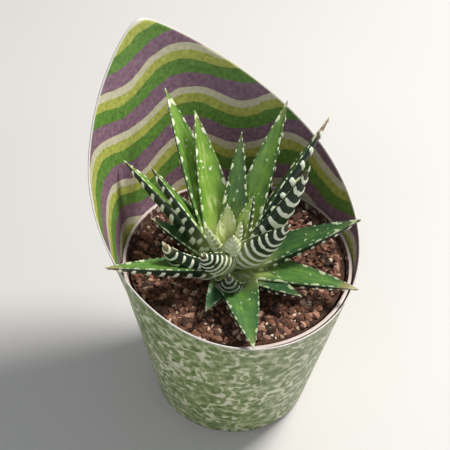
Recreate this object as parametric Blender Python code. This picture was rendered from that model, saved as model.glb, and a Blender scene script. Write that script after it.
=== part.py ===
"""A zebra haworthia in a tapered nursery pot, with a printed sleeve that rises behind it like a flame.

Metres, +Z up. The origin is the centre of the pot's underside, and the sleeve's tip stands at +Y.
A bearing is an angle in degrees round the pot, clockwise from +Y when seen from above.
"""
import bpy
import bmesh
from math import atan2, cos, pi, radians, sin, sqrt
from mathutils import Matrix, Vector, noise

# The pot
POT_HEIGHT = 0.068
RIM_RADIUS = 0.0425
BASE_RADIUS = 0.029
WALL = 0.001
FLOOR_THICKNESS = 0.0015
BAND_HEIGHT = 0.004
BAND_STEP = 0.001
BAND_TAPER = 0.2
RIM_WIDTH = 0.0014
EDGE_ROUNDING = 0.0004
POT_SIDES = 72
DRAIN_HOLES = 6
DRAIN_RADIUS = 0.0026
DRAIN_CIRCLE = 0.019

# The soil, a plug with a plain hole for the stem
GAP = 0.0003
SOIL_LEVEL = POT_HEIGHT - 0.0065
SOIL_RISE = 0.0045
DISH_RADIUS = 0.018
SOIL_SIDES = 48
SOIL_RINGS = 7
SOIL_ROUGHNESS = 0.0006
SOIL_LUMP = 0.006

# The sleeve, one sheet bent into a cone
SHEET = 0.0005
SLEEVE_FOOT = 0.002
SLEEVE_CLEARANCE = 0.00031
SLEEVE_TAPER = 0.2
FLAME_TAPER = 0.26
FLAME_HEIGHT = 0.0751
FLAME_REACH = 174.0
TIP_ROUNDING = 4.1
SLEEVE_COLUMNS = 108
COLUMN_EVENNESS = 0.6

# The plant: a short stem that ends in a bud, and the leaves' feet round it
STEM_RADIUS = 0.005
STEM_SUNK = 0.012
STEM_TOP = 0.003
BUD_RADIUS = 0.0022
BUD_FOOT = 0.011
BUD_TOP = 0.022
STEM_SIDES = 16
FOOT_OFFSET = 0.003
FULL_GROWN = 0.04
FOOT_LIFT = 0.0037
CROWN_LIFT = 0.008
LEAN = 0.35
LEAN_BEARING = -50.0
FOOT_NARROWING = 0.7
FOOT_LENGTH = 0.008
WIDTH_POWER = 2.0
DEPTH_SHARE = 0.7
LEAST_DEPTH = 0.0005
HOLLOW = 0.08
BACK_ANGLES = (0, 45, 90, 135, 180)

# The raised cross-bands on the backs of the leaves, laid out in shares of a leaf's length
RIDGE_SPACING = 0.105
RIDGE_HEIGHT = 0.00045
RIDGE_START = 0.08
RIDGE_END = 0.8

# Each leaf: bearing, rise at its foot, bend from foot to tip and roll about its own line, in degrees,
# then length and half width in millimetres
OUTER_LEAVES = (
    (-87, 29, -2, 10, 57, 6.2),
    (-125, 14, 0, 0, 31, 5.0),
    (-151, 17, -14, 0, 46, 7.6),
    (171, 14, 0, 0, 32, 5.4),
    (152, 17, -12, 0, 47, 6.8),
    (125, 27, -2, 0, 48, 7.0),
    (78, 22, 0, 0, 42, 6.5),
    (34, 25, 0, 0, 31, 6.2),
    (-6, 22, 0, 0, 32, 6.2),
    (-44, 30, 0, 0, 32, 5.6),
)
MIDDLE_LEAVES = (
    (-24, 36, -6, 35, 51, 7.2),
    (4, 52, -8, 0, 64, 7.0),
    (13, 57, -6, 0, 53, 7.0),
    (69, 57, -4, 0, 59, 6.4),
    (88, 50, -6, -50, 61, 6.2),
    (45, 62, -4, 0, 44, 5.2),
    (-84, 20, 48, 49, 38, 7.0),
    (-107, 37, 21, 60, 26, 6.6),
    (153, 49, 10, -75, 34, 6.2),
    (-137, 6, 73, 0, 28, 7.0),
)
INNER_LEAVES = (
    (122, 50, 24, -76, 50, 5.3),
    (-27, 48, -4, 33, 43, 6.4),
    (-70, 66, 0, 20, 18, 4.2),
    (30, 74, 0, 0, 19, 4.6),
    (100, 74, 0, 0, 26, 4.6),
    (-20, 78, 0, 0, 14, 3.8),
    (135, 80, 0, 0, 16, 3.8),
    (-153, 68, 8, 0, 17, 5.2),
)
MM = 0.001


def clear_scene():
    for old in list(bpy.data.objects):
        bpy.data.objects.remove(old, do_unlink=True)


def material(name, colour, roughness):
    made = bpy.data.materials.new(name)
    made.use_nodes = True
    shader = made.node_tree.nodes["Principled BSDF"]
    shader.inputs["Base Color"].default_value = (*colour, 1.0)
    shader.inputs["Roughness"].default_value = roughness
    shader.inputs["Metallic"].default_value = 0.0
    return made


def add_object(name, bm, finish=None, group=None, sharp_angle=40):
    """Turn a bmesh into a smooth-shaded object of the scene, or of a collection in it."""
    mesh = bpy.data.meshes.new(name)
    bm.to_mesh(mesh)
    bm.free()
    mesh.shade_smooth()
    mesh.set_sharp_from_angle(angle=radians(sharp_angle))
    if finish:
        mesh.materials.append(finish)
    made = bpy.data.objects.new(name, mesh)
    (group or bpy.context.scene.collection).objects.link(made)
    return made


def turned(profile, sides):
    """A surface turned from (radius, height) points, closed where both ends lie on the axis."""
    bm = bmesh.new()
    verts = [bm.verts.new((0.0, radius, height)) for radius, height in profile]
    edges = [bm.edges.new(pair) for pair in zip(verts, verts[1:])]
    bmesh.ops.spin(bm, geom=verts + edges, cent=(0, 0, 0), axis=(0, 0, 1), angle=2 * pi, steps=sides,
                   use_merge=True)
    bmesh.ops.remove_doubles(bm, verts=bm.verts[:], dist=1e-6)
    bmesh.ops.recalc_face_normals(bm, faces=bm.faces[:])
    return bm


def at_bearing(bearing, radius, height):
    angle = radians(bearing)
    return Vector((radius * sin(angle), radius * cos(angle), height))


def wall_radius(height):
    """Outer radius of the pot's wall below the rim band."""
    top = RIM_RADIUS - BAND_HEIGHT * BAND_TAPER - BAND_STEP
    return BASE_RADIUS + (top - BASE_RADIUS) * height / (POT_HEIGHT - BAND_HEIGHT)


def drain_hole_cutter():
    bm = bmesh.new()
    for index in range(DRAIN_HOLES):
        turn = Matrix.Rotation(2 * pi * index / DRAIN_HOLES, 4, "Z")
        place = turn @ Matrix.Translation((DRAIN_CIRCLE, 0, 0))
        bmesh.ops.create_cone(bm, cap_ends=True, segments=12, radius1=DRAIN_RADIUS, radius2=DRAIN_RADIUS,
                              depth=4 * FLOOR_THICKNESS, matrix=place)
    cutter = add_object("drain_hole_cutter", bm)
    cutter.hide_render = True
    cutter.display_type = "WIRE"
    return cutter


def make_pot(finish):
    band_foot = POT_HEIGHT - BAND_HEIGHT
    band_radius = RIM_RADIUS - BAND_HEIGHT * BAND_TAPER
    edge = EDGE_ROUNDING
    outside = [(0, 0), (BASE_RADIUS - 2 * edge, 0), (BASE_RADIUS, 2 * edge),
               (wall_radius(band_foot - edge), band_foot - edge), (band_radius, band_foot),
               (RIM_RADIUS - edge * BAND_TAPER, POT_HEIGHT - edge), (RIM_RADIUS - edge, POT_HEIGHT)]
    inner_rim = RIM_RADIUS - RIM_WIDTH
    inside = [(inner_rim, POT_HEIGHT), (inner_rim - edge, POT_HEIGHT - edge),
              (wall_radius(band_foot) - WALL, band_foot - BAND_STEP),
              (wall_radius(FLOOR_THICKNESS) - WALL, FLOOR_THICKNESS), (0, FLOOR_THICKNESS)]
    pot = add_object("nursery_pot", turned(outside + inside, POT_SIDES), finish)
    cut = pot.modifiers.new("drain_holes", "BOOLEAN")
    cut.operation = "DIFFERENCE"
    cut.solver = "EXACT"
    cut.object = drain_hole_cutter()


def soil_height(radius):
    """The soil is dished: level round the plant, and higher at the pot's wall."""
    edge = wall_radius(SOIL_LEVEL + SOIL_RISE) - WALL - GAP
    share = min(1.0, max(0.0, (radius - DISH_RADIUS) / (edge - DISH_RADIUS)))
    return SOIL_LEVEL + SOIL_RISE * share * share * (3 - 2 * share)


def make_soil(finish):
    """A turned plug whose top is made lumpy with smooth noise."""
    top_radius = wall_radius(SOIL_LEVEL + SOIL_RISE) - WALL - GAP
    foot = FLOOR_THICKNESS + GAP
    foot_radius = wall_radius(foot) - WALL - GAP
    hole_radius = STEM_RADIUS + GAP
    hole_foot = SOIL_LEVEL - STEM_SUNK - GAP
    ring_step = (hole_radius - top_radius) / SOIL_RINGS
    radii = [top_radius + ring_step * ring for ring in range(SOIL_RINGS + 1)]
    top = [(radius, soil_height(radius)) for radius in radii]
    bm = turned([(0, foot), (foot_radius, foot)] + top + [(hole_radius, hole_foot), (0, hole_foot)], SOIL_SIDES)
    for vert in bm.verts:
        if vert.co.z > SOIL_LEVEL - GAP:
            spot = Vector((vert.co.x, vert.co.y, SOIL_LEVEL))
            vert.co.z += SOIL_ROUGHNESS * noise.noise(spot / SOIL_LUMP)
    add_object("soil_plug", bm, finish)


def flame_edge(bearing):
    """Height of the sleeve's top edge: level with the rim in front, a rounded tip behind."""
    away = sqrt(bearing ** 2 + TIP_ROUNDING ** 2)
    return POT_HEIGHT + FLAME_HEIGHT * max(0.0, 1 - away / FLAME_REACH) ** 2


def sleeve_radius(height):
    """Inner face of the sleeve: close round the rim band, and spreading a little more above it."""
    band_foot = POT_HEIGHT - BAND_HEIGHT
    at_band = RIM_RADIUS - BAND_HEIGHT * BAND_TAPER + SLEEVE_CLEARANCE
    taper = FLAME_TAPER if height > band_foot else SLEEVE_TAPER
    return at_band + (height - band_foot) * taper


def make_sleeve(finish):
    """An even tube of three rows, whose columns are drawn closer together towards the tip."""
    bm = turned([(1, 0), (1, 1), (1, 2)], SLEEVE_COLUMNS)
    if bm.faces[:][0].normal.dot(bm.faces[:][0].calc_center_median()) < 0:
        bmesh.ops.reverse_faces(bm, faces=bm.faces[:])
    for vert in bm.verts:
        across = atan2(vert.co.x, vert.co.y) / pi
        bearing = 180 * across * (COLUMN_EVENNESS + (1 - COLUMN_EVENNESS) * across ** 2)
        rows = (SLEEVE_FOOT, POT_HEIGHT - BAND_HEIGHT, flame_edge(bearing))
        height = rows[round(vert.co.z)]
        vert.co = at_bearing(bearing, sleeve_radius(height), height)
    sleeve = add_object("flame_sleeve", bm, finish, sharp_angle=60)
    wall = sleeve.modifiers.new("sheet", "SOLIDIFY")
    wall.thickness = SHEET
    wall.offset = 1.0
    wall.use_even_offset = True


def crown_shift(lift):
    """The crown leans to one side as it rises above the soil."""
    return at_bearing(LEAN_BEARING, LEAN * max(0.0, lift), 0)


def leaf_frame(leaf, along):
    """Place and axes (across, up) of a leaf's cross-section at a distance along its curved line.

    Young, short leaves stand nearer the middle of the rosette.
    """
    bearing, rise, bend, roll, length, _ = leaf
    start = radians(rise)
    turn = radians(bend) or 1e-6
    angle = start + turn * along / (length * MM)
    stretch = length * MM / turn
    foot_offset = FOOT_OFFSET * min(1, length * MM / FULL_GROWN)
    out = foot_offset + stretch * (sin(angle) - sin(start))
    lift = FOOT_LIFT + CROWN_LIFT * rise / 90
    place = at_bearing(bearing, out, SOIL_LEVEL + lift - stretch * (cos(angle) - cos(start)))
    place += crown_shift(lift)
    forward = at_bearing(bearing, cos(angle), sin(angle))
    up = Matrix.Rotation(radians(roll), 3, forward) @ at_bearing(bearing, -sin(angle), cos(angle))
    return place, forward.cross(up), up


def leaf_section(leaf, along, ridge):
    """A D-shaped outline: the rounded back with its raised band, and the slightly hollow face."""
    place, across, up = leaf_frame(leaf, along)
    length, half_width = leaf[4] * MM, leaf[5] * MM
    foot = FOOT_NARROWING + (1 - FOOT_NARROWING) * min(1, along / FOOT_LENGTH)
    half = half_width * foot * (1 - (along / length) ** WIDTH_POWER)
    depth = DEPTH_SHARE * half + LEAST_DEPTH
    outline = []
    for angle in BACK_ANGLES:
        swell = 1 + (ridge / depth if 0 < angle < 180 else 0)
        outline.append((half * swell * cos(radians(angle)), -depth * swell * sin(radians(angle))))
    outline += [(-half / 2, -HOLLOW * half), (half / 2, -HOLLOW * half)]
    return [place + across * x + up * y for x, y in outline]


def leaf_stations(length):
    """Distances along a leaf and the ridge height there: hollow and crest by turns, then the bare tip."""
    height = RIDGE_HEIGHT * min(1, length / FULL_GROWN)
    stations = [(0.0, 0.0)]
    for step in range(int((RIDGE_END - RIDGE_START) / (RIDGE_SPACING / 2)) + 1):
        stations.append((length * (RIDGE_START + step * RIDGE_SPACING / 2), height * (step % 2)))
    return stations + [(length * 0.9, 0.0), (length * 0.96, 0.0)]


def make_leaf(leaf, group):
    """Extrude the foot's outline along the leaf, one station at a time, and draw it to a point."""
    bm = bmesh.new()
    stations = leaf_stations(leaf[4] * MM)
    face = bm.faces.new([bm.verts.new(point) for point in leaf_section(leaf, *stations[0])])
    foot_edges = face.edges[:]
    for along, ridge in stations[1:]:
        face = bmesh.ops.extrude_discrete_faces(bm, faces=[face])["faces"][0]
        for vert, point in zip(face.verts, leaf_section(leaf, along, ridge)):
            vert.co = point
    tip = leaf_frame(leaf, leaf[4] * MM)[0]
    bmesh.ops.pointmerge(bm, verts=face.verts[:], merge_co=tip)
    bmesh.ops.contextual_create(bm, geom=[edge for edge in foot_edges if edge.is_valid])
    bmesh.ops.recalc_face_normals(bm, faces=bm.faces[:])
    add_object("leaf", bm, group=group)


def make_stem():
    foot = SOIL_LEVEL - STEM_SUNK
    profile = [(0, foot), (STEM_RADIUS, foot), (STEM_RADIUS, SOIL_LEVEL), (STEM_RADIUS, SOIL_LEVEL + STEM_TOP),
               (BUD_RADIUS, SOIL_LEVEL + BUD_FOOT), (0, SOIL_LEVEL + BUD_TOP)]
    bm = turned(profile, STEM_SIDES)
    for vert in bm.verts:
        vert.co += crown_shift(vert.co.z - SOIL_LEVEL)
    return bm


def islands(bm):
    """The separate skins of a mesh, each a list of faces."""
    left = set(bm.faces)
    while left:
        skin = [left.pop()]
        for face in skin:
            near = {other for edge in face.edges for other in edge.link_faces} & left
            left -= near
            skin.extend(near)
        yield skin


def fill_pockets(mesh):
    """Drop every skin but the outer one: the pockets of air shut in between the leaves' feet."""
    bm = bmesh.new()
    bm.from_mesh(mesh)
    bmesh.ops.triangulate(bm, faces=bm.faces[:])
    skins = sorted(islands(bm), key=len)
    pockets = [face for skin in skins[:-1] for face in skin]
    bmesh.ops.delete(bm, geom=pockets, context="FACES")
    bm.to_mesh(mesh)
    bm.free()


def make_rosette(finish):
    """The stem with all its leaves grown into it, joined by one union."""
    leaves = bpy.data.collections.new("leaves")
    bpy.context.scene.collection.children.link(leaves)
    for leaf in OUTER_LEAVES + MIDDLE_LEAVES + INNER_LEAVES:
        make_leaf(leaf, leaves)
    stem = add_object("rosette", make_stem(), finish)
    union = stem.modifiers.new("leaves", "BOOLEAN")
    union.operation = "UNION"
    union.solver = "EXACT"
    union.operand_type = "COLLECTION"
    union.collection = leaves
    evaluated = stem.evaluated_get(bpy.context.evaluated_depsgraph_get())
    joined = bpy.data.meshes.new_from_object(evaluated)
    fill_pockets(joined)
    stem.modifiers.clear()
    stem.data = joined
    stem.data.materials.clear()
    stem.data.materials.append(finish)
    for leaf in list(leaves.objects):
        bpy.data.objects.remove(leaf, do_unlink=True)
    bpy.data.collections.remove(leaves)


def main():
    clear_scene()
    make_pot(material("pot_plastic", (0.60, 0.55, 0.52), 0.45))
    make_soil(material("potting_soil", (0.16, 0.07, 0.04), 0.95))
    make_sleeve(material("printed_sheet", (0.42, 0.48, 0.24), 0.5))
    make_rosette(material("leaf_green", (0.12, 0.28, 0.09), 0.45))


main()
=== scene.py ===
"""The looks of a zebra haworthia in its nursery pot, with a printed sleeve that rises behind it.

Metres, +Z up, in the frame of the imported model: the origin is the centre of the pot's underside, and the
sleeve's tip stands at +Y. A bearing is an angle round the pot in degrees, clockwise from +Y seen from above.
"""
import bpy
import bmesh
import random
from math import ceil, cos, floor, pi, radians, sin, sqrt
from mathutils import Euler, Matrix, Vector, noise


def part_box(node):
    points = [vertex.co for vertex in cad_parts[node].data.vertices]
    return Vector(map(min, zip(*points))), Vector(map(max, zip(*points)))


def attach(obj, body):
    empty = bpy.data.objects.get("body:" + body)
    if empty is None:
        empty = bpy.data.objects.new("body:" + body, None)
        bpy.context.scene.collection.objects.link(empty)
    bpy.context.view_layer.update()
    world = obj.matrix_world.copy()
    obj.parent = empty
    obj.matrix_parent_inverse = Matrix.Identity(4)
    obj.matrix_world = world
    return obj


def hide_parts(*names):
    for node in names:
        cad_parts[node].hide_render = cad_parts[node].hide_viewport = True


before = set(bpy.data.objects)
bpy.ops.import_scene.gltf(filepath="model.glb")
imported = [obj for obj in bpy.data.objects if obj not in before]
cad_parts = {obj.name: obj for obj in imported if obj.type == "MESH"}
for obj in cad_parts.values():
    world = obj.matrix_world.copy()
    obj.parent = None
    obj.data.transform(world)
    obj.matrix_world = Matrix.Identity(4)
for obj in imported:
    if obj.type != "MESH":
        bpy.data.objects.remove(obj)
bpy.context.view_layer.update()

MM = 0.001
MERGE_DISTANCE = 1e-6

# The pot, with its height and rim taken from the frame
POT_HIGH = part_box("nursery_pot")[1]
POT_HEIGHT = POT_HIGH.z
RIM_RADIUS = POT_HIGH.x + 0.0001
BASE_RADIUS = 0.029
WALL = 0.001
FLOOR_THICKNESS = 0.0015
BAND_HEIGHT = 0.004
BAND_STEP = 0.001
BAND_TAPER = 0.2
RIM_WIDTH = 0.0014
EDGE_ROUNDING = 0.0004
ROUNDING_STEPS = 4
POT_SIDES = 144
DRAIN_HOLES = 6
DRAIN_SIDES = 32
DRAIN_RADIUS = 0.0026
DRAIN_CIRCLE = 0.019
CUTTER_TURN = 360 / DRAIN_SIDES / 2.7

# The soil's loose top
SOIL_LEVEL = POT_HEIGHT - 0.0065
SOIL_RISE = 0.0045
DISH_RADIUS = 0.018
SOIL_ROUGHNESS = 0.0006
SOIL_LUMP = 0.006
BARK_CRUMBS = 2800
BARK_SIZES = (0.0006, 0.0015)
PALE_GRIT = 450
GRIT_SIZES = (0.0005, 0.0009)
CRUMBS_AT_ONCE = 50

# The sleeve, one sheet bent into a cone
SHEET = 0.0005
SLEEVE_FOOT = 0.002
SLEEVE_CLEARANCE = 0.00031
SLEEVE_TAPER = 0.2
FLAME_TAPER = 0.26
FLAME_HEIGHT = 0.0751
FLAME_REACH = 174.0
TIP_ROUNDING = 4.1
SLEEVE_COLUMNS = 240
SLEEVE_ROWS = 70
COLUMN_EVENNESS = 0.6
WAVE = 0.0006
WAVE_LENGTH = 0.035
SLEEVE_TOP = POT_HEIGHT + FLAME_HEIGHT

# The sleeve's prints: the height of one repeat of the inside's stripes, how many waves they make on their way
# round, how high those swell and how unevenly they are drawn, and how dense the outside's veins are
STRIPES_REPEAT = 0.018
WAVES_ROUND = 7
WAVE_SWELL = 0.0035
STRIPE_UNEVENNESS = 0.006
VEIN_COUNT = 12.0

# The plant
STEM_RADIUS = 0.005
STEM_SIDES = 32
STEM_SUNK = 0.012
STEM_TOP = 0.003
BUD_RADIUS = 0.0022
BUD_FOOT = 0.011
BUD_TOP = 0.022
FOOT_OFFSET = 0.003
FULL_GROWN = 0.04
FOOT_LIFT = 0.0037
CROWN_LIFT = 0.008
LEAN = 0.35
LEAN_BEARING = -50.0
FOOT_NARROWING = 0.7
FOOT_LENGTH = 0.008
WIDTH_POWER = 2.0
DEPTH_SHARE = 0.7
LEAST_DEPTH = 0.0005
HOLLOW = 0.08
MARGIN_LIP = 0.10
POINT_SHARPNESS = 24
LEAST_BEND = 1e-6
POINT_MERGE = 3e-6
LEAF_SIDES = 56
RING_STEP = 0.0004
SEED_STEP = 13.7

# The raised white cross-bands on the backs, laid out in shares of a leaf's length
BAND_SPACING = 0.105
BAND_START = 0.08
BAND_THICKNESS = 0.50
BAND_BOW = 0.0015
BAND_RELIEF = 0.0004
BAND_WOBBLE = 0.012
BAND_SHIFT = 0.10
BAND_PATCH = 0.0020

# The white marks along the margins of the faces, and the dots between them
MARK_PITCH = 0.0033
MARK_LENGTH = 0.0021
MARK_WIDTH = 0.0015
MARK_RELIEF = 0.00018
SMALL_MARK = 0.45
FRESH_MARKS = (0.76, 0.81, 0.56)
# The outer leaves' marks are greyer: partly wear, partly painted shade, as those low leaves lie in shade
WORN_AND_SHADED_MARKS = (0.40, 0.47, 0.28)
DOT_WIDTH = 0.0010
DOT_LENGTH = 0.0016

# Each leaf: bearing, rise at its foot, bend from foot to tip and roll about its own line in degrees, length
# and half width in millimetres, how bright its green is, and how dry its tip, from 0 to 1. Brightness goes
# from 0 to 1 too, and on the low leaves that lie under the others its low values are partly painted shade;
# below 0 a leaf's marks turn dark grey, partly for age and partly as painted shade, and from about 0.8 a
# young leaf turns pale.
OUTER_LEAVES = (
    (-87, 29, -2, 10, 57, 6.2, 0.44, 0.6),
    (-125, 14, 0, 0, 31, 5.0, -0.30, 0.3),
    (-151, 17, -14, 0, 46, 7.6, 0.32, 0.2),
    (171, 14, 0, 0, 32, 5.4, -0.10, 0.2),
    (152, 17, -12, 0, 47, 6.8, 0.34, 1.0),
    (125, 27, -2, 0, 48, 7.0, 0.12, 0.2),
    (78, 22, 0, 0, 42, 6.5, 0.20, 0.3),
    (34, 25, 0, 0, 31, 6.2, 0.20, 0.3),
    (-6, 22, 0, 0, 32, 6.2, 0.15, 0.3),
    (-44, 30, 0, 0, 32, 5.6, 0.05, 0.3),
)
MIDDLE_LEAVES = (
    (-24, 36, -6, 35, 51, 7.2, 0.60, 0.3),
    (4, 52, -8, 0, 64, 7.0, 0.66, 0.2),
    (13, 57, -6, 0, 53, 7.0, 0.78, 0.2),
    (69, 57, -4, 0, 59, 6.4, 0.62, 0.3),
    (88, 50, -6, -50, 61, 6.2, 0.30, 0.9),
    (45, 62, -4, 0, 44, 5.2, 0.42, 0.3),
    (-84, 20, 48, 49, 38, 7.0, 0.25, 1.0),
    (-107, 37, 21, 60, 26, 6.6, 0.50, 0.3),
    (153, 49, 10, -75, 34, 6.2, 0.25, 0.2),
    (-137, 6, 73, 0, 28, 7.0, -0.35, 0.2),
)
INNER_LEAVES = (
    (122, 50, 24, -76, 50, 5.3, 0.25, 0.3),
    (-27, 48, -4, 33, 43, 6.4, 0.50, 0.2),
    (-70, 66, 0, 20, 18, 4.2, 1.20, 0.1),
    (30, 74, 0, 0, 19, 4.6, 1.10, 0.1),
    (100, 74, 0, 0, 26, 4.6, 0.90, 0.1),
    (-20, 78, 0, 0, 14, 3.8, 1.30, 0.1),
    (135, 80, 0, 0, 16, 3.8, 1.30, 0.1),
    (-153, 68, 8, 0, 17, 5.2, 1.20, 0.1),
)

# The camera, at the photo's viewing angle
CAMERA_PLACE = (-0.2014, -0.2419, 0.4042)
CAMERA_AIM = (-0.0040, 0.0033, 0.0858)
CAMERA_ROLL = 2.42
CAMERA_LENS = 99.7

# The studio's lights: bearing, distance and height, then size, power and colour
KEY_LIGHT = ((95, 0.45, 0.75), 0.22, 10, (1.0, 0.97, 0.92))
FILL_LIGHT = ((-120, 0.8, 0.5), 0.8, 2, (0.93, 0.96, 1.0))
SKY_COLOUR = (0.93, 0.95, 1.0, 1)
SKY_STRENGTH = 0.32
STUDIO_SIZE = 3


class Finish:
    """A material whose node tree is built up one node at a time."""

    def __init__(self, name, roughness, **shader_values):
        self.material = bpy.data.materials.new(name)
        self.material.use_nodes = True
        self.tree = self.material.node_tree
        self.shader = self.tree.nodes["Principled BSDF"]
        self.shader.inputs["Roughness"].default_value = roughness
        for name, value in shader_values.items():
            self.shader.inputs[name.replace("_", " ")].default_value = value

    def feed(self, socket, value):
        """Link a node's output to the socket, or set a plain number or colour on it."""
        if isinstance(value, bpy.types.NodeSocket):
            self.tree.links.new(value, socket)
        elif socket.type == "RGBA":
            socket.default_value = (*value, 1.0)
        else:
            socket.default_value = value

    def node(self, kind, output, values=(), **settings):
        made = self.tree.nodes.new("ShaderNode" + kind)
        for name, value in settings.items():
            setattr(made, name, value)
        for socket, value in dict(values).items():
            self.feed(made.inputs[socket], value)
        return made.outputs[output]

    def math(self, operation, *values):
        return self.node("Math", 0, enumerate(values), operation=operation)

    def blend(self, amount, under, over):
        return self.node("Mix", 2, {0: amount, 6: under, 7: over}, data_type="RGBA")

    def smooth(self, value, low, high):
        """Zero below low and one above high; a low above high turns it round."""
        return self.node("MapRange", 0, {"Value": value, "From Min": low, "From Max": high},
                         interpolation_type="SMOOTHSTEP")

    def attribute(self, name):
        return self.node("Attribute", "Fac", attribute_name=name)

    def place(self):
        return self.node("TexCoord", "Object")

    def stretched(self, scale):
        return self.node("Mapping", 0, {"Vector": self.place(), "Scale": scale})

    def noise(self, size, detail=2.0, place=None, rough=0.5):
        """Soft noise, from 0 to 1, whose lumps are about as large as the size given in metres."""
        values = {"Vector": place or self.place(), "Scale": 1 / size, "Detail": detail, "Roughness": rough}
        return self.node("TexNoise", 0, values)

    def ramp(self, value, *stops):
        made = self.tree.nodes.new("ShaderNodeValToRGB")
        marks = made.color_ramp.elements
        while len(marks) < len(stops):
            marks.new(0.5)
        for mark, (position, colour) in zip(marks, stops):
            mark.position = position
            mark.color = (*colour, 1.0)
        self.feed(made.inputs[0], value)
        return made.outputs[0]

    def bump(self, height, distance, strength=1.0):
        return self.node("Bump", 0, {"Height": height, "Distance": distance, "Strength": strength})

    def shade(self, **parts):
        for name, value in parts.items():
            self.feed(self.shader.inputs[name.replace("_", " ")], value)
        return self.material


def add_object(name, mesh, node, finishes):
    """Put a finished mesh on the plant's body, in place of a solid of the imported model."""
    for finish in finishes:
        mesh.materials.append(finish)
    made = bpy.data.objects.new(name, mesh)
    bpy.context.scene.collection.objects.link(made)
    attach(made, "root")
    if node:
        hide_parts(node)
    return made


def mesh_from(name, bm, sharp_angle=60):
    mesh = bpy.data.meshes.new(name)
    bm.to_mesh(mesh)
    bm.free()
    mesh.shade_smooth()
    mesh.set_sharp_from_angle(angle=radians(sharp_angle))
    return mesh


def at_bearing(bearing, radius, height):
    angle = radians(bearing)
    return Vector((radius * sin(angle), radius * cos(angle), height))


def step_up(value, low, high):
    """Zero below low, one above high and a smooth rise between them."""
    share = min(1.0, max(0.0, (value - low) / (high - low)))
    return share * share * (3 - 2 * share)


def crown_shift(lift):
    """The crown leans to one side as it rises above the soil."""
    return at_bearing(LEAN_BEARING, LEAN * max(0.0, lift), 0)


def leaf_frame(leaf, along):
    """Place and axes (across, up) of a leaf's cross-section at a distance along its curved line."""
    bearing, rise, bend, roll, length = leaf[:5]
    start = radians(rise)
    turn = radians(bend) or LEAST_BEND
    angle = start + turn * along / (length * MM)
    stretch = length * MM / turn
    foot_offset = FOOT_OFFSET * min(1, length * MM / FULL_GROWN)
    out = foot_offset + stretch * (sin(angle) - sin(start))
    lift = FOOT_LIFT + CROWN_LIFT * rise / 90
    place = at_bearing(bearing, out, SOIL_LEVEL + lift - stretch * (cos(angle) - cos(start)))
    place += crown_shift(lift)
    forward = at_bearing(bearing, cos(angle), sin(angle))
    up = Matrix.Rotation(radians(roll), 3, forward) @ at_bearing(bearing, -sin(angle), cos(angle))
    return place, forward.cross(up), up


def half_width(leaf, along):
    foot = FOOT_NARROWING + (1 - FOOT_NARROWING) * min(1, along / FOOT_LENGTH)
    return leaf[5] * MM * foot * (1 - (along / (leaf[4] * MM)) ** WIDTH_POWER)


def back_band(along, side, half, share, seed):
    """Height, from 0 to 1, of the bands across a leaf's back: bowed ridges, broken into beads further out."""
    length = along / share if share else 1.0
    bow = BAND_BOW * min(1.0, length / FULL_GROWN) * side * side / length
    wobble = BAND_WOBBLE * noise.noise(Vector((side * 2, share * 9, seed)))
    turns = (share - bow - BAND_START + wobble) / BAND_SPACING
    index = floor(turns)
    shift = BAND_SHIFT * noise.noise(Vector((index * 3.1, seed, 0.5)))
    away = abs(turns - index - 0.5 - shift)
    patch = noise.noise(Vector((side * half / BAND_PATCH, index * 5.7, seed)))
    whole = 0.85 - 0.60 * share + 0.45 * step_up(abs(side), 0.35, 0.75)
    thick = 0.5 * BAND_THICKNESS * (1 - 0.35 * share) * (0.75 + 0.25 * sqrt(max(0.0, 1 - side * side)))
    thick *= 0.45 + 0.55 * step_up(patch + whole, -0.15, 0.25)
    reach = step_up(1.02 - abs(side), 0.0, 0.10) * step_up(patch + whole, -0.30, 0.0)
    return reach * step_up(thick - away, -0.03, 0.07)


def face_mark(along, side, half, share, seed):
    """Height, from 0 to 1, of a face's marks: large and small by turns along its margins, and a few dots."""
    index = floor(along / MARK_PITCH)
    margin = 1.0 if side > 0 else -1.0
    chance = noise.cell(Vector((index * 1.7, margin, seed)))
    size = (1.0 if index % 2 else SMALL_MARK) * (0.75 + 0.45 * chance) * (1 - 0.3 * share)
    centre = (index + 0.35 + 0.3 * chance) * MARK_PITCH
    from_edge = (1 - abs(side)) * half
    mark = 1 - ((along - centre) / (MARK_LENGTH * size)) ** 2 - (from_edge / (MARK_WIDTH * size)) ** 2
    dot = noise.noise(Vector((side * half / DOT_WIDTH, along / DOT_LENGTH, seed + 7)))
    return max(step_up(mark, 0.0, 0.5), 0.6 * step_up(dot, 0.50, 0.58) * step_up(share, 0.2, 0.4))


def leaf_point(leaf, along, turn, seed):
    """Where a point of a leaf's skin lies, its band height, and whether it is on the back."""
    place, across, up = leaf_frame(leaf, along)
    share = along / (leaf[4] * MM)
    half = half_width(leaf, along)
    closing = sqrt(max(0.0, 1 - share ** POINT_SHARPNESS))
    depth = (DEPTH_SHARE * half + LEAST_DEPTH) * closing
    side, lift = cos(turn), sin(turn)
    if lift >= 0:
        band = back_band(along, side, half, share, seed)
        swell = BAND_RELIEF * band * closing
        shape = Vector((half * side, -depth * lift ** 0.9, 0)) + swell * Vector((side, -lift, 0))
    else:
        band = face_mark(along, side, half, share, seed)
        rim = MARGIN_LIP * min(1, -lift / 0.35) - (MARGIN_LIP + HOLLOW) * lift * lift
        shape = Vector((half * side, half * rim + MARK_RELIEF * band * closing, 0))
    return place + across * shape.x + up * shape.y, band, lift >= 0


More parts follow.
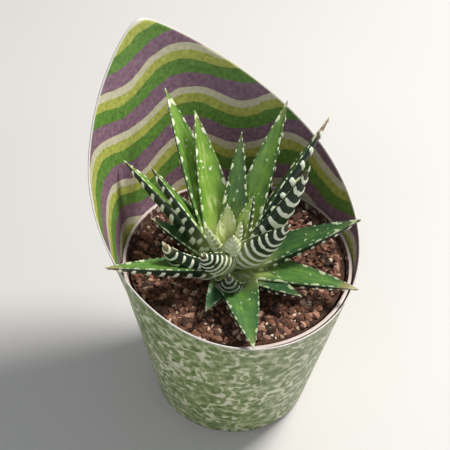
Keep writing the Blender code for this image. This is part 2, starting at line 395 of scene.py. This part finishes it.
def add_leaf(bm, leaf, seed):
    """A tube of rings moved on to the leaf's skin, closed at its foot and drawn to a point."""
    length = leaf[4] * MM
    rings = ceil(length / RING_STEP)
    bmesh.ops.create_grid(bm, x_segments=LEAF_SIDES, y_segments=rings, size=1)
    layers = {name: bm.verts.layers.float.get(name) or bm.verts.layers.float.new(name)
              for name in ("band", "back", "side", "along", "share", "bright", "dry")}
    for vert in bm.verts:
        turn = (vert.co.x + 1) * pi
        share = (vert.co.y + 1) / 2
        vert.co, band, back = leaf_point(leaf, share * length, turn, seed)
        values = {"band": band, "back": float(back), "side": cos(turn), "along": share * length,
                  "share": share, "bright": leaf[6], "dry": leaf[7]}
        for name, value in values.items():
            vert[layers[name]] = value
    bmesh.ops.remove_doubles(bm, verts=bm.verts[:], dist=POINT_MERGE)
    foot_edges = [edge for edge in bm.edges if edge.is_boundary]
    bmesh.ops.holes_fill(bm, edges=foot_edges, sides=0)
    bmesh.ops.recalc_face_normals(bm, faces=bm.faces[:])


def make_leaves(name, leaves, first_seed, finish):
    together = bmesh.new()
    for number, leaf in enumerate(leaves):
        bm = bmesh.new()
        add_leaf(bm, leaf, first_seed + number * SEED_STEP)
        part = bpy.data.meshes.new("one_leaf")
        bm.to_mesh(part)
        bm.free()
        together.from_mesh(part)
        bpy.data.meshes.remove(part)
    add_object(name, mesh_from(name, together, 180), "rosette", [finish])


def make_stem(finish):
    """The short stem, which ends in the bud of the next leaves."""
    foot = SOIL_LEVEL - STEM_SUNK
    profile = [(0, foot), (STEM_RADIUS, foot), (STEM_RADIUS, SOIL_LEVEL),
               (STEM_RADIUS, SOIL_LEVEL + STEM_TOP), (BUD_RADIUS * 1.3, SOIL_LEVEL + BUD_FOOT * 0.8),
               (BUD_RADIUS, SOIL_LEVEL + BUD_FOOT), (BUD_RADIUS * 0.6, SOIL_LEVEL + BUD_TOP * 0.8),
               (0, SOIL_LEVEL + BUD_TOP)]
    bm = turned(profile, STEM_SIDES)
    for vert in bm.verts:
        vert.co += crown_shift(vert.co.z - SOIL_LEVEL)
    add_object("stem_and_bud", mesh_from("stem_and_bud", bm), "rosette", [finish])


def leaf_skin(name, mark_colour):
    """Streaked green, darker on the back (its own dark green deepened by painted shade), pale at the foot,
    dry at the tip, with pale bands and marks.
    """
    made = Finish(name, 0.42, Specular_IOR_Level=0.45, Coat_Weight=0.08, Coat_Roughness=0.35)
    bright, back, band = (made.attribute(name) for name in ("bright", "back", "band"))
    along, share, dry = (made.attribute(name) for name in ("along", "share", "dry"))
    side = made.attribute("side")
    across, down = made.math("MULTIPLY", side, 0.012), made.math("MULTIPLY", along, 0.3)
    grain = made.node("CombineXYZ", 0, {0: across, 1: down, 2: bright})
    streaks = made.noise(0.0022, 3, grain)
    mottle = made.noise(0.0035, 3)
    bright = made.math("ADD", bright, made.math("MULTIPLY_ADD", mottle, 0.4, -0.2))
    bright = made.math("ADD", bright, made.math("MULTIPLY_ADD", streaks, 0.8, -0.4))
    margin = made.smooth(made.math("ABSOLUTE", side), 0.45, 0.95)
    bright = made.math("ADD", bright, made.math("MULTIPLY", margin, -0.22))
    face = made.ramp(bright, (0.0, (0.024, 0.075, 0.024)), (0.35, (0.062, 0.150, 0.028)),
                     (0.7, (0.165, 0.330, 0.035)), (1.0, (0.32, 0.47, 0.08)))
    # The back's ramp is far darker than the face's: the backs' own dark green, with painted shade of the
    # leaves' undersides laid into it
    under = made.ramp(bright, (0.0, (0.005, 0.018, 0.008)), (0.6, (0.014, 0.040, 0.011)),
                      (1.0, (0.20, 0.26, 0.06)))
    colour = made.blend(back, face, under)
    pale = made.smooth(along, 0.018, 0.005)
    colour = made.blend(made.math("MULTIPLY", pale, 0.7), colour, (0.42, 0.47, 0.15))
    young = made.smooth(bright, 0.80, 1.15)
    colour = made.blend(made.math("MULTIPLY", young, 0.85), colour, (0.74, 0.77, 0.46))
    tip = made.math("MULTIPLY", made.smooth(share, 0.80, 0.99), dry)
    colour = made.blend(tip, colour, (0.40, 0.27, 0.15))
    ragged = made.math("ADD", band, made.math("MULTIPLY_ADD", made.noise(0.0005, 2), 0.5, -0.25))
    white = made.smooth(ragged, 0.28, 0.50)
    # Partly age, partly painted shade: leaves below 0 brightness, the low ones under the others, get dark
    # grey marks
    age_and_shade = made.math("MULTIPLY", made.smooth(made.attribute("bright"), 0.0, -0.3), 0.75)
    marks = made.blend(back, mark_colour, (0.82, 0.85, 0.66))
    colour = made.blend(white, colour, made.blend(age_and_shade, marks, (0.10, 0.14, 0.10)))
    pores = made.noise(0.0004, 2)
    normal = made.bump(pores, 0.00008, 0.5)
    return made.shade(Base_Color=colour, Normal=normal)


def soil_height(x, y):
    """The soil is dished: level round the plant, higher at the pot's wall, and lumpy all over."""
    edge = wall_radius(SOIL_LEVEL + SOIL_RISE) - WALL
    dish = SOIL_RISE * step_up(sqrt(x * x + y * y), DISH_RADIUS, edge)
    return SOIL_LEVEL + dish + SOIL_ROUGHNESS * noise.noise(Vector((x, y, SOIL_LEVEL)) / SOIL_LUMP)


def add_crumb(bm, draw, sizes, reach, tone):
    """One rough grain of the loose top, part of it sunk in the soil."""
    radius = reach * sqrt(draw.random())
    angle = draw.uniform(-pi, pi)
    x, y = radius * sin(angle), radius * cos(angle)
    size = draw.uniform(*sizes)
    shape = Matrix.Diagonal((size * draw.uniform(1.0, 1.9), size, size * draw.uniform(0.5, 0.9), 1))
    turns = (draw.uniform(-0.6, 0.6), draw.uniform(-0.6, 0.6), draw.uniform(-pi, pi))
    tilt = Euler(turns).to_matrix().to_4x4()
    height = soil_height(x, y) + size * draw.uniform(-0.1, 0.5)
    spot = Matrix.Translation((x, y, height))
    made = bmesh.ops.create_icosphere(bm, subdivisions=1, radius=1, matrix=spot @ tilt @ shape)
    shade = draw.random()
    for vert in made["verts"]:
        vert.co += 0.25 * size * Vector(draw.uniform(-1, 1) for _ in range(3))
        vert[tone] = shade


def make_crumbs(name, count, sizes, seed, finish):
    draw = random.Random(seed)
    reach = wall_radius(SOIL_LEVEL + SOIL_RISE) - WALL - 1.5 * sizes[1]
    together = bmesh.new()
    for _ in range(0, count, CRUMBS_AT_ONCE):
        bm = bmesh.new()
        tone = bm.verts.layers.float.new("tone")
        for _ in range(CRUMBS_AT_ONCE):
            add_crumb(bm, draw, sizes, reach, tone)
        part = bpy.data.meshes.new("some_crumbs")
        bm.to_mesh(part)
        bm.free()
        together.from_mesh(part)
        bpy.data.meshes.remove(part)
    add_object(name, mesh_from(name, together, 35), None, [finish])


def bark_finish():
    made = Finish("bark_crumb", 0.8, Specular_IOR_Level=0.3)
    tone = made.attribute("tone")
    colour = made.ramp(tone, (0.0, (0.012, 0.007, 0.005)), (0.30, (0.080, 0.038, 0.025)),
                       (0.70, (0.210, 0.092, 0.056)), (0.90, (0.38, 0.19, 0.12)), (1.0, (0.70, 0.48, 0.36)))
    grain = made.noise(0.0006, 3, made.stretched((1, 1, 0.3)))
    colour = made.blend(made.math("MULTIPLY", grain, 0.5), colour, (0.06, 0.028, 0.018))
    return made.shade(Base_Color=colour, Normal=made.bump(grain, 0.0003, 0.8))


def grit_finish():
    made = Finish("pale_grit", 0.7)
    colour = made.ramp(made.attribute("tone"), (0.0, (0.35, 0.22, 0.14)), (0.5, (0.55, 0.42, 0.30)),
                       (1.0, (0.78, 0.72, 0.60)))
    grain = made.noise(0.0004, 2)
    colour = made.blend(made.math("MULTIPLY", grain, 0.4), colour, (0.30, 0.18, 0.10))
    return made.shade(Base_Color=colour, Normal=made.bump(grain, 0.0002, 0.6))


def soil_finish():
    made = Finish("damp_peat", 0.9, Specular_IOR_Level=0.2)
    lumps = made.noise(0.0018, 4, rough=0.65)
    colour = made.ramp(lumps, (0.3, (0.020, 0.011, 0.007)), (0.6, (0.07, 0.032, 0.020)),
                       (0.8, (0.15, 0.070, 0.043)))
    return made.shade(Base_Color=colour, Normal=made.bump(lumps, 0.0008, 0.9))


def turned(profile, sides):
    """A surface turned from (radius, height) points, closed where both ends lie on the axis."""
    bm = bmesh.new()
    verts = [bm.verts.new((0.0, radius, height)) for radius, height in profile]
    edges = [bm.edges.new(pair) for pair in zip(verts, verts[1:])]
    bmesh.ops.spin(bm, geom=verts + edges, cent=(0, 0, 0), axis=(0, 0, 1), angle=2 * pi, steps=sides,
                   use_merge=True)
    bmesh.ops.remove_doubles(bm, verts=bm.verts[:], dist=MERGE_DISTANCE)
    bmesh.ops.recalc_face_normals(bm, faces=bm.faces[:])
    return bm


def wall_radius(height):
    """Outer radius of the pot's wall below the rim band."""
    top = RIM_RADIUS - BAND_HEIGHT * BAND_TAPER - BAND_STEP
    return BASE_RADIUS + (top - BASE_RADIUS) * height / (POT_HEIGHT - BAND_HEIGHT)


def rounded(before, corner, after):
    """Points of a small arc that takes the place of a profile's corner."""
    into = corner + (before - corner).normalized() * EDGE_ROUNDING
    out = corner + (after - corner).normalized() * EDGE_ROUNDING
    shares = [step / ROUNDING_STEPS for step in range(ROUNDING_STEPS + 1)]
    return [tuple(into.lerp(corner, share).lerp(corner.lerp(out, share), share)) for share in shares]


def make_pot(finish):
    """The pot's profile, from the middle of its underside over the rim to the middle of its floor, turned."""
    band_foot = POT_HEIGHT - BAND_HEIGHT
    band_radius = RIM_RADIUS - BAND_HEIGHT * BAND_TAPER
    inner_rim = RIM_RADIUS - RIM_WIDTH
    corners = [Vector(point) for point in (
        (0, 0), (BASE_RADIUS, 0), (wall_radius(band_foot), band_foot), (band_radius, band_foot),
        (RIM_RADIUS, POT_HEIGHT), (inner_rim, POT_HEIGHT),
        (wall_radius(band_foot) - WALL, band_foot - BAND_STEP),
        (wall_radius(FLOOR_THICKNESS) - WALL, FLOOR_THICKNESS), (0, FLOOR_THICKNESS))]
    profile = [tuple(corners[0])]
    for before, corner, after in zip(corners, corners[1:], corners[2:]):
        profile += rounded(before, corner, after)
    profile.append(tuple(corners[-1]))
    mesh = mesh_from("moulded_pot", turned(profile, POT_SIDES), 50)
    pot = add_object("moulded_pot", mesh, "nursery_pot", [finish])
    cut_drain_holes(pot)


def cut_drain_holes(pot):
    """Cut round holes through the pot's floor, each turned so that no corner meets an edge of the floor."""
    bm = bmesh.new()
    off_line = Matrix.Rotation(radians(CUTTER_TURN), 4, "Z")
    out = Matrix.Translation((DRAIN_CIRCLE, 0, 0))
    for index in range(DRAIN_HOLES):
        place = Matrix.Rotation(2 * pi * index / DRAIN_HOLES, 4, "Z") @ out @ off_line
        bmesh.ops.create_cone(bm, cap_ends=True, segments=DRAIN_SIDES, radius1=DRAIN_RADIUS,
                              radius2=DRAIN_RADIUS, depth=4 * FLOOR_THICKNESS, matrix=place)
    cutter = bpy.data.objects.new("drain_hole_cutter", mesh_from("drain_hole_cutter", bm))
    bpy.context.scene.collection.objects.link(cutter)
    cut = pot.modifiers.new("drain_holes", "BOOLEAN")
    cut.operation = "DIFFERENCE"
    cut.solver = "EXACT"
    cut.object = cutter
    evaluated = pot.evaluated_get(bpy.context.evaluated_depsgraph_get())
    finished = bpy.data.meshes.new_from_object(evaluated)
    pot.modifiers.clear()
    pot.data = finished
    bpy.data.objects.remove(cutter, do_unlink=True)


def inner_wall_shade(made):
    """How much painted shade darkens the inner wall, in brown patches, between the soil's edge and the rim.
    """
    radius = made.node("VectorMath", "Value", {0: made.stretched((1, 1, 0))}, operation="LENGTH")
    height = made.node("SeparateXYZ", 2, {0: made.place()})
    inside = made.smooth(radius, RIM_RADIUS - 0.0010, RIM_RADIUS - 0.0015)
    above_step = made.smooth(height, POT_HEIGHT - BAND_HEIGHT - 0.0005, POT_HEIGHT - BAND_HEIGHT)
    patches = made.smooth(made.noise(0.0022, 3), 0.30, 0.52)
    return made.math("MULTIPLY", made.math("MULTIPLY", inside, above_step), patches)


def pot_finish():
    made = Finish("thin_moulded_plastic", 0.42, Specular_IOR_Level=0.5)
    cloud = made.noise(0.012, 3)
    colour = made.ramp(cloud, (0.3, (0.46, 0.38, 0.35)), (0.7, (0.58, 0.50, 0.47)))
    dust = made.smooth(made.noise(0.0016, 4), 0.60, 0.75)
    colour = made.blend(made.math("MULTIPLY", dust, 0.35), colour, (0.25, 0.15, 0.10))
    # Painted shade: brown patches on the inner wall above the soil
    colour = made.blend(inner_wall_shade(made), colour, (0.085, 0.038, 0.024))
    ripple = made.noise(0.003, 2, made.stretched((0.2, 0.2, 1)))
    return made.shade(Base_Color=colour, Normal=made.bump(ripple, 0.0002, 0.4))


def flame_edge(bearing):
    """Height of the sleeve's top edge: level with the rim in front, a rounded tip behind."""
    away = sqrt(bearing ** 2 + TIP_ROUNDING ** 2)
    return POT_HEIGHT + FLAME_HEIGHT * max(0.0, 1 - away / FLAME_REACH) ** 2


def sleeve_radius(height):
    """Inner face of the sleeve: close round the rim band, and spreading a little more above it."""
    band_foot = POT_HEIGHT - BAND_HEIGHT
    at_band = RIM_RADIUS - BAND_HEIGHT * BAND_TAPER + SLEEVE_CLEARANCE
    taper = FLAME_TAPER if height > band_foot else SLEEVE_TAPER
    return at_band + (height - band_foot) * taper


def sheet_wave(bearing, height):
    """How far the free part of the sheet stands out or in, where nothing holds it flat."""
    free = step_up(height, POT_HEIGHT + 0.004, POT_HEIGHT + 0.04)
    return WAVE * free * noise.noise(at_bearing(bearing, 2.0, height / WAVE_LENGTH))


def make_sleeve(inner, outer, edge):
    """A grid bent round the pot, one column closed on the other at the front, then given its thickness."""
    bm = bmesh.new()
    bmesh.ops.create_grid(bm, x_segments=SLEEVE_COLUMNS, y_segments=SLEEVE_ROWS, size=1, calc_uvs=True)
    wrap = bm.loops.layers.uv.verify()
    uses = {vert: (vert.co.x, (vert.co.y + 1) / 2) for vert in bm.verts}
    for vert, (across, up) in uses.items():
        bearing = 180 * across * (COLUMN_EVENNESS + (1 - COLUMN_EVENNESS) * across ** 2)
        height = SLEEVE_FOOT + (flame_edge(bearing) - SLEEVE_FOOT) * up
        for loop in vert.link_loops:
            loop[wrap].uv = (0.5 + bearing / 360, height / SLEEVE_TOP)
        vert.co = at_bearing(bearing, sleeve_radius(height) + sheet_wave(bearing, height), height)
    below = bm.verts.layers.float.new("below_edge")
    for vert in bm.verts:
        bearing = 360 * (vert.link_loops[0][wrap].uv.x - 0.5)
        vert[below] = flame_edge(bearing) - vert.co.z
    bmesh.ops.remove_doubles(bm, verts=bm.verts[:], dist=MERGE_DISTANCE)
    if bm.faces[:][0].normal.dot(bm.faces[:][0].calc_center_median()) < 0:
        bmesh.ops.reverse_faces(bm, faces=bm.faces[:])
    mesh = mesh_from("printed_flame_sleeve", bm)
    sleeve = add_object("printed_flame_sleeve", mesh, "flame_sleeve", [outer, inner, edge])
    wall = sleeve.modifiers.new("sheet", "SOLIDIFY")
    wall.thickness = SHEET
    wall.offset = 1.0
    wall.use_even_offset = True
    wall.material_offset = 1
    wall.material_offset_rim = 2


class Print(Finish):
    """A print on the sleeve, laid out by turns round the pot, by height and by place."""

    def __init__(self, name):
        super().__init__(name, 0.38, Specular_IOR_Level=0.5)
        wrap = self.node("SeparateXYZ", 0, {0: self.node("UVMap", 0)}).node
        self.turns = wrap.outputs[0]
        self.height = self.math("MULTIPLY", wrap.outputs[1], SLEEVE_TOP)

    def up_the_repeat(self):
        """How far up one repeat of the level, wavy stripes a place lies, from 0 to 1."""
        swell = self.math("SINE", self.math("MULTIPLY", self.turns, 2 * pi * WAVES_ROUND))
        level = self.math("MULTIPLY_ADD", swell, WAVE_SWELL, self.height)
        level = self.math("MULTIPLY_ADD", self.noise(0.02, 2), STRIPE_UNEVENNESS, level)
        return self.math("FRACT", self.math("DIVIDE", level, STRIPES_REPEAT))


def inner_print():
    """Plain wavy stripes, level round the sleeve, in plum, green, lime and cream."""
    made = Print("sleeve_inner_print")
    mottle = made.noise(0.0015, 4, rough=0.7)
    repeat = made.up_the_repeat()
    plum = ((0.12, 0.062, 0.10), (0.28, 0.17, 0.22))
    green = ((0.05, 0.13, 0.02), (0.15, 0.30, 0.05))
    lime = ((0.22, 0.25, 0.03), (0.50, 0.52, 0.12))
    cream = ((0.42, 0.40, 0.26), (0.62, 0.58, 0.42))
    colour = made.ramp(mottle, (0.3, plum[0]), (0.7, plum[1]))
    for start, (dark, light) in ((0.34, green), (0.64, lime), (0.84, cream)):
        stripe = made.smooth(repeat, start - 0.008, start + 0.008)
        colour = made.blend(stripe, colour, made.ramp(mottle, (0.3, dark), (0.7, light)))
    return finish_print(made, colour)


def outer_print():
    """An even marbling of broken cream veins on mottled green."""
    made = Print("sleeve_outer_print")
    mottle = made.noise(0.003, 4, rough=0.65)
    colour = made.ramp(mottle, (0.32, (0.06, 0.12, 0.02)), (0.5, (0.21, 0.28, 0.09)),
                       (0.64, (0.46, 0.48, 0.28)))
    drift = made.math("MULTIPLY", made.noise(0.022, 3), VEIN_COUNT)
    away = made.math("ABSOLUTE", made.math("SUBTRACT", made.math("FRACT", drift), 0.5))
    thickness = made.math("MULTIPLY_ADD", made.noise(0.003, 2), 0.9, -0.30)
    veins = made.smooth(made.math("SUBTRACT", thickness, away), -0.08, 0.06)
    fade = made.smooth(made.noise(0.009, 3), 0.35, 0.60)
    veins = made.math("MULTIPLY", veins, made.math("MULTIPLY_ADD", fade, 0.70, 0.15))
    colour = made.blend(veins, colour, (0.74, 0.73, 0.54))
    return finish_print(made, colour)


def finish_print(made, colour):
    """The pale strip that the cutting leaves below the edge, scuffs, and the sheet's slight ripples."""
    strip = made.smooth(made.attribute("below_edge"), 0.0009, 0.0005)
    colour = made.blend(strip, colour, (0.55, 0.53, 0.47))
    scuff = made.smooth(made.noise(0.0012, 3), 0.62, 0.78)
    colour = made.blend(made.math("MULTIPLY", scuff, 0.2), colour, (0.50, 0.48, 0.42))
    ripple = made.noise(0.02, 2)
    return made.shade(Base_Color=colour, Normal=made.bump(ripple, 0.0008, 0.3))


def edge_finish():
    made = Finish("sheet_cut_edge", 0.6)
    fibres = made.noise(0.0008, 3)
    colour = made.ramp(fibres, (0.3, (0.50, 0.47, 0.43)), (0.7, (0.68, 0.66, 0.62)))
    return made.shade(Base_Color=colour, Normal=made.bump(fibres, 0.0001, 0.5))


def make_floor():
    bm = bmesh.new()
    bmesh.ops.create_grid(bm, x_segments=1, y_segments=1, size=STUDIO_SIZE)
    made = Finish("studio_floor", 0.7)
    cloud = made.noise(0.3, 2)
    made.shade(Base_Color=made.ramp(cloud, (0.3, (0.55, 0.54, 0.53)), (0.7, (0.59, 0.58, 0.57))))
    mesh = mesh_from("studio_floor", bm)
    mesh.materials.append(made.material)
    floor_plane = bpy.data.objects.new("studio_floor", mesh)
    bpy.context.scene.collection.objects.link(floor_plane)


def add_light(name, stand, size, power, colour):
    """A square light on a stand, turned towards the plant."""
    place = at_bearing(*stand)
    lamp = bpy.data.lights.new(name, "AREA")
    lamp.size = size
    lamp.energy = power
    lamp.color = colour
    made = bpy.data.objects.new(name, lamp)
    made.location = place
    aim = Vector((0, 0, POT_HEIGHT)) - place
    made.rotation_euler = aim.to_track_quat("-Z", "Y").to_euler()
    bpy.context.scene.collection.objects.link(made)


def make_studio():
    make_floor()
    add_light("key_light", *KEY_LIGHT)
    add_light("fill_light", *FILL_LIGHT)
    world = bpy.data.worlds.new("studio")
    world.use_nodes = True
    sky = world.node_tree.nodes["Background"]
    sky.inputs["Color"].default_value = SKY_COLOUR
    sky.inputs["Strength"].default_value = SKY_STRENGTH
    bpy.context.scene.world = world
    bpy.context.scene.view_settings.view_transform = "Standard"


def make_camera():
    lens = bpy.data.cameras.new("camera")
    lens.lens = CAMERA_LENS
    made = bpy.data.objects.new("camera", lens)
    made.location = CAMERA_PLACE
    aim = (Vector(CAMERA_AIM) - Vector(CAMERA_PLACE)).to_track_quat("-Z", "Y").to_matrix()
    made.rotation_euler = (aim @ Matrix.Rotation(radians(CAMERA_ROLL), 3, "Z")).to_euler()
    bpy.context.scene.collection.objects.link(made)
    bpy.context.scene.camera = made


def main():
    make_camera()
    make_studio()
    skin = leaf_skin("leaf_skin", FRESH_MARKS)
    # The outer leaves get greyer marks: partly wear, partly painted shade
    make_leaves("outer_leaves", OUTER_LEAVES, 1.0, leaf_skin("outer_leaf_skin", WORN_AND_SHADED_MARKS))
    make_leaves("middle_leaves", MIDDLE_LEAVES, 301.0, skin)
    make_leaves("inner_leaves", INNER_LEAVES, 601.0, skin)
    make_stem(skin)
    make_pot(pot_finish())
    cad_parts["soil_plug"].material_slots[0].material = soil_finish()
    make_crumbs("bark_crumbs", BARK_CRUMBS, BARK_SIZES, 5, bark_finish())
    make_crumbs("grit", PALE_GRIT, GRIT_SIZES, 6, grit_finish())
    make_sleeve(inner_print(), outer_print(), edge_finish())


main()
